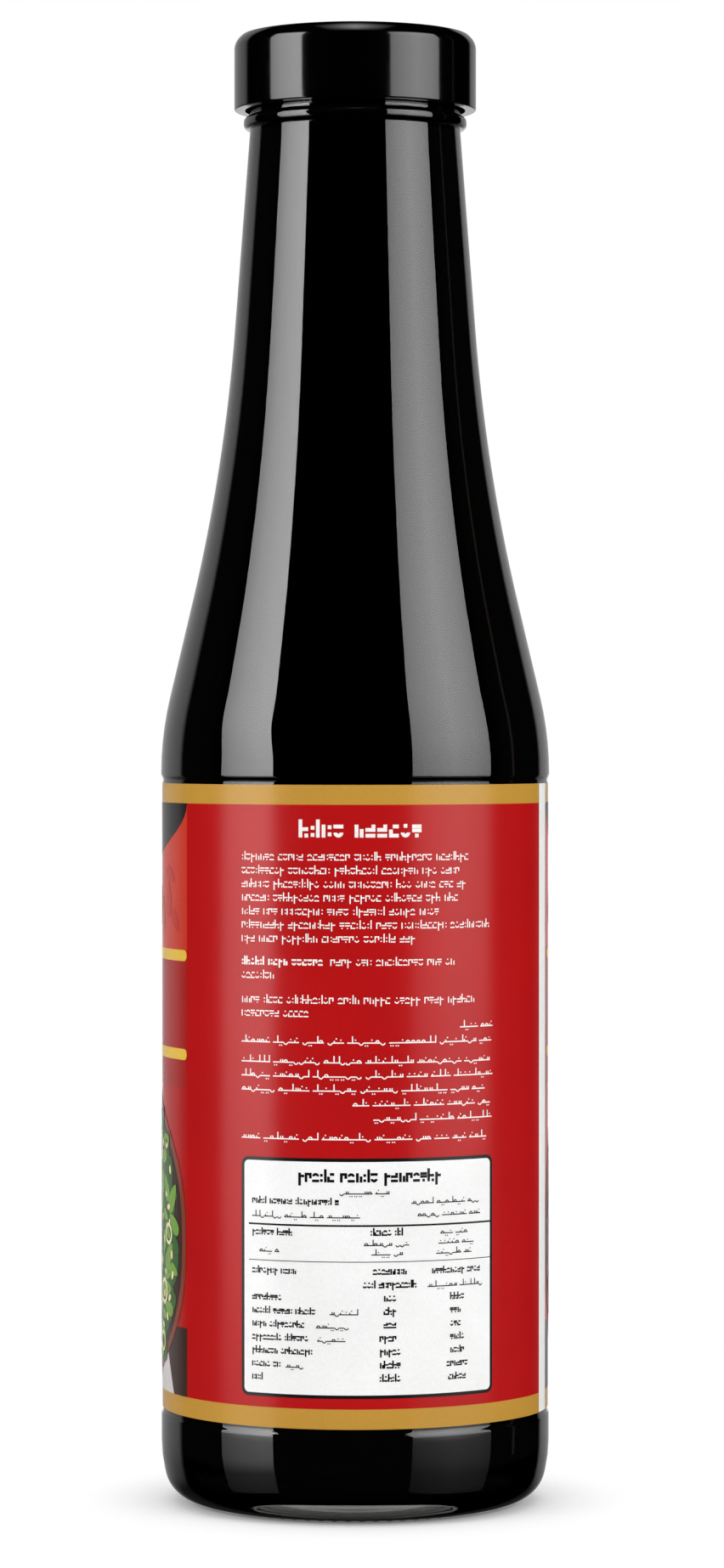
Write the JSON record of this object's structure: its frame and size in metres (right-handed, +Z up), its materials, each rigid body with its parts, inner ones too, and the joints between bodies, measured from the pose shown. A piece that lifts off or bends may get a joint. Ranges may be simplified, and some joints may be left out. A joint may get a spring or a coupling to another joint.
{
  "type": "teriyaki sauce bottle",
  "caption": "Round glass sauce bottle with a long tapering neck, filled with dark sauce, closed by a black screw cap and wrapped with a printed label.",
  "frame": {"origin": "centre of the round base, on the surface the bottle stands on", "axes": "+Z up along the bottle's axis to the cap, the panel with the fine print faces -Y and the pictured front panel faces +Y"},
  "size_m": [0.0638, 0.0638, 0.2408],
  "materials": {
    "glass": "clear polished flint glass",
    "sauce": "dark opaque liquid",
    "cap": "smooth gloss black polypropylene",
    "label": "red printed film, semi-gloss"
  },
  "bodies": {
    "root": {"bottle": "glass", "sauce": "sauce", "cap": "cap", "label": "label"}
  },
  "joints": []
}
